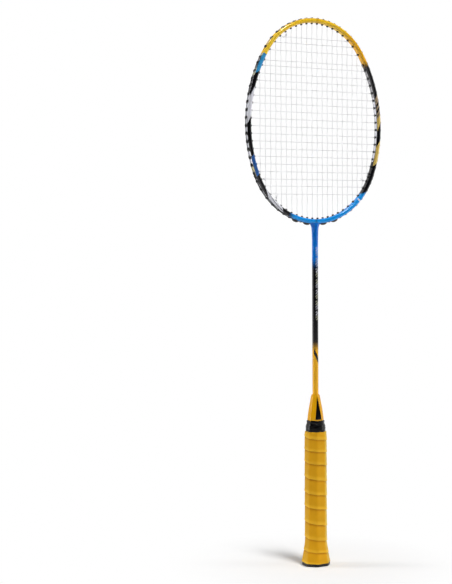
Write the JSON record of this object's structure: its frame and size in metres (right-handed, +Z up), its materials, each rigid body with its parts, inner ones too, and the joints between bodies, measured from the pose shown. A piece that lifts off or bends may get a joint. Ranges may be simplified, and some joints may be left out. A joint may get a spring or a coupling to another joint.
{
  "type": "badminton racket",
  "caption": "strung badminton racket: oval hollow head on a slim shaft, tapered cone, eight-sided handle under a spirally wound grip tape with a flared butt",
  "frame": {"origin": "centre of the bottom of the butt cap", "axes": "+Z runs up the shaft to the crest of the head, X lies across the head in the string plane, -Y is the front of the string bed"},
  "size_m": [0.194, 0.0325, 0.675],
  "materials": {
    "frame_paint": "gloss lacquer in blocks of black, yellow, silver, gold and blue over a carbon tube",
    "insert": "moulded fibre insert",
    "throat_paint": "gloss blue lacquer",
    "shaft_paint": "gloss lacquer that fades from blue through black to yellow",
    "cone_plastic": "smooth yellow plastic with a plain black panel",
    "handle_wood": "bare light wood",
    "butt_plastic": "fine moulded texture",
    "tack_steel": "bare steel",
    "badge": "plain satin disc",
    "grip": "soft satin synthetic leather tape",
    "vinyl": "stretched glossy vinyl tape",
    "grommet": "black nylon",
    "string": "white braided multifilament string"
  },
  "bodies": {
    "root": {"frame_hoop": "frame_paint", "t_joint": "insert", "throat_fairing": "throat_paint", "shaft": "shaft_paint", "cone_cap": "cone_plastic", "handle_core": "handle_wood", "butt_cap": "butt_plastic", "butt_tacks": "tack_steel", "butt_badge": "badge", "grip_tape": "grip", "finishing_tape": "vinyl", "crest_grommets": "grommet", "throat_grommets": "grommet", "throat_saddles": "grommet", "left_grommets": "grommet", "right_grommets": "grommet", "main_string": "string", "cross_string": "string", "tie_knots": "string"}
  },
  "joints": []
}
